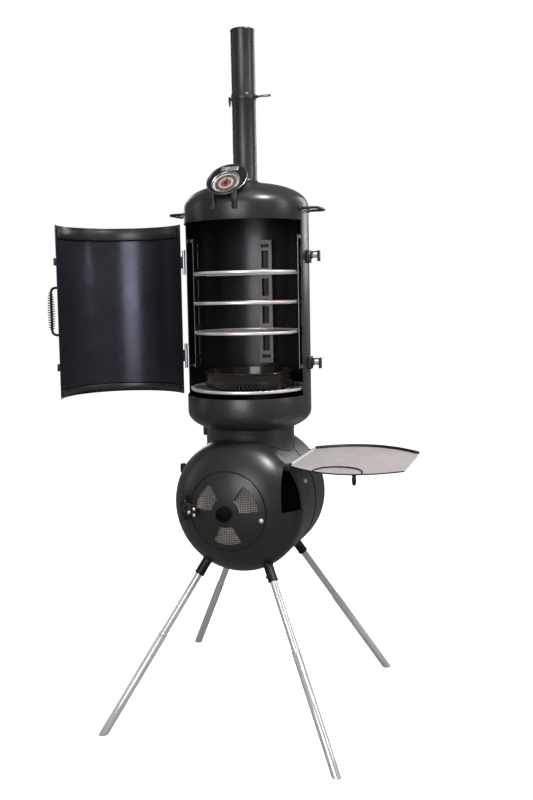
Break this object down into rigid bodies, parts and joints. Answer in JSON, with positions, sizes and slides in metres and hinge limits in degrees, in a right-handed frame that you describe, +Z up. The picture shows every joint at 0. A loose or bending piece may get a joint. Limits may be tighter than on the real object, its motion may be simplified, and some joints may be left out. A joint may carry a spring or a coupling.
{
  "type": "wood-fired smoker stove",
  "caption": "Portable wood-fired smoker: horizontal firebox barrel on splayed legs, vertical smoking drum with curved door, racks, thermometer, flue with damper and a fold-down side shelf.",
  "frame": {"origin": "floor level, middle of the whole object's footprint", "axes": "+Z up, -Y towards the front, +X towards the side shelf"},
  "size_m": [0.976, 0.6474, 1.85],
  "materials": {
    "satin_black": "satin heat-proof paint",
    "dark_trim": "matt black",
    "chrome": "bright plated",
    "shelf_steel": "plain sheet steel",
    "brown_enamel": "dark brown enamel",
    "dial_white": "printed dial face",
    "black_plastic": "moulded, matt",
    "dark_iron": "rough cast"
  },
  "bodies": {
    "stove": {"barrel_shell": "satin_black", "collar_ring": "satin_black", "fire_grate": "dark_iron", "leg_socket_fl": "dark_trim", "leg_upper_fl": "chrome", "leg_lower_fl": "chrome", "leg_socket_fr": "dark_trim", "leg_upper_fr": "chrome", "leg_lower_fr": "chrome", "leg_socket_rl": "dark_trim", "leg_upper_rl": "chrome", "leg_lower_rl": "chrome", "leg_socket_rr": "dark_trim", "leg_upper_rr": "chrome", "leg_lower_rr": "chrome", "carry_lug": "dark_trim", "front_hinge_bracket": "dark_trim", "shelf_bracket_front": "dark_trim", "shelf_bracket_rear": "dark_trim", "stay_bolt": "chrome"},
    "smoker": {"drum_shell": "satin_black", "drum_handle_left": "dark_trim", "drum_handle_right": "dark_trim", "rack_1": "chrome", "rack_2": "chrome", "rack_3": "chrome", "bottom_grate": "chrome", "ladder_left": "chrome", "ladder_right": "chrome", "ladder_rear": "chrome", "water_pan": "brown_enamel", "flue_lower": "satin_black", "thermometer_case": "dark_trim", "thermometer_dial": "dial_white", "thermometer_bezel": "chrome", "thermometer_plaque": "shelf_steel", "door_hinge_upper_bracket": "dark_trim", "door_hinge_lower_bracket": "dark_trim", "latch_upper_base": "dark_trim", "latch_lower_base": "dark_trim"},
    "cabinet_door": {"door_panel": "satin_black", "door_handle_rod": "dark_trim", "door_handle_grip": "dark_trim", "door_hinge_upper_leaf": "dark_trim", "door_hinge_lower_leaf": "dark_trim"},
    "latch_upper": {"latch_upper_lever": "dark_trim"},
    "latch_lower": {"latch_lower_lever": "dark_trim"},
    "front_door": {"front_door_panel": "satin_black", "spark_screen": "shelf_steel", "front_hinge_leaf": "dark_trim"},
    "vent": {"vent_disc": "shelf_steel", "vent_knob": "black_plastic"},
    "front_latch": {"front_latch": "chrome"},
    "side_shelf": {"shelf_plate": "shelf_steel", "shelf_rim": "dark_trim", "shelf_peg": "dark_trim"},
    "damper": {"damper_plate": "dark_trim", "damper_loop": "dark_trim"},
    "flue_top": {"flue_upper": "satin_black"},
    "needle": {"thermometer_needle": "dark_trim"}
  },
  "joints": [
    {"name": "smoker_lift", "type": "slide", "parent": "stove", "child": "smoker", "axis": [0, 0, 1], "range_m": [0, 0.12]},
    {"name": "cabinet_door_hinge", "type": "hinge", "parent": "smoker", "child": "cabinet_door", "pos_m": [-0.13714, -0.02938, 1.105], "axis": [0, 0, 1], "range_deg": [0, 148]},
    {"name": "latch_upper_turn", "type": "hinge", "parent": "smoker", "child": "latch_upper", "pos_m": [0.21741, 0, 1.242], "axis": [1, 0, 0], "range_deg": [0, 90]},
    {"name": "latch_lower_turn", "type": "hinge", "parent": "smoker", "child": "latch_lower", "pos_m": [0.21741, 0, 0.957], "axis": [1, 0, 0], "range_deg": [0, 90]},
    {"name": "front_door_hinge", "type": "hinge", "parent": "stove", "child": "front_door", "pos_m": [-0.08259, -0.184, 0.585], "axis": [0, 0, -1], "range_deg": [0, 95]},
    {"name": "vent_turn", "type": "hinge", "parent": "front_door", "child": "vent", "pos_m": [0.03841, -0.2, 0.585], "axis": [0, 1, 0], "range_deg": [0, 60]},
    {"name": "front_latch_turn", "type": "hinge", "parent": "front_door", "child": "front_latch", "pos_m": [0.13291, -0.19, 0.569], "axis": [0, 1, 0], "range_deg": [0, 180]},
    {"name": "side_shelf_fold", "type": "hinge", "parent": "stove", "child": "side_shelf", "pos_m": [0.18741, 0, 0.7], "axis": [0, 1, 0], "range_deg": [0, 50]},
    {"name": "damper_turn", "type": "hinge", "parent": "smoker", "child": "damper", "pos_m": [0.03841, 0, 1.672], "axis": [1, 0, 0], "range_deg": [0, 90]},
    {"name": "flue_top_lift", "type": "slide", "parent": "smoker", "child": "flue_top", "axis": [0, 0, 1], "range_m": [0, 0.1]},
    {"name": "needle_turn", "type": "hinge", "parent": "smoker", "child": "needle", "pos_m": [0.04041, -0.14671, 1.42781], "axis": [0, -0.766, 0.6428], "range_deg": [-120, 120]}
  ]
}
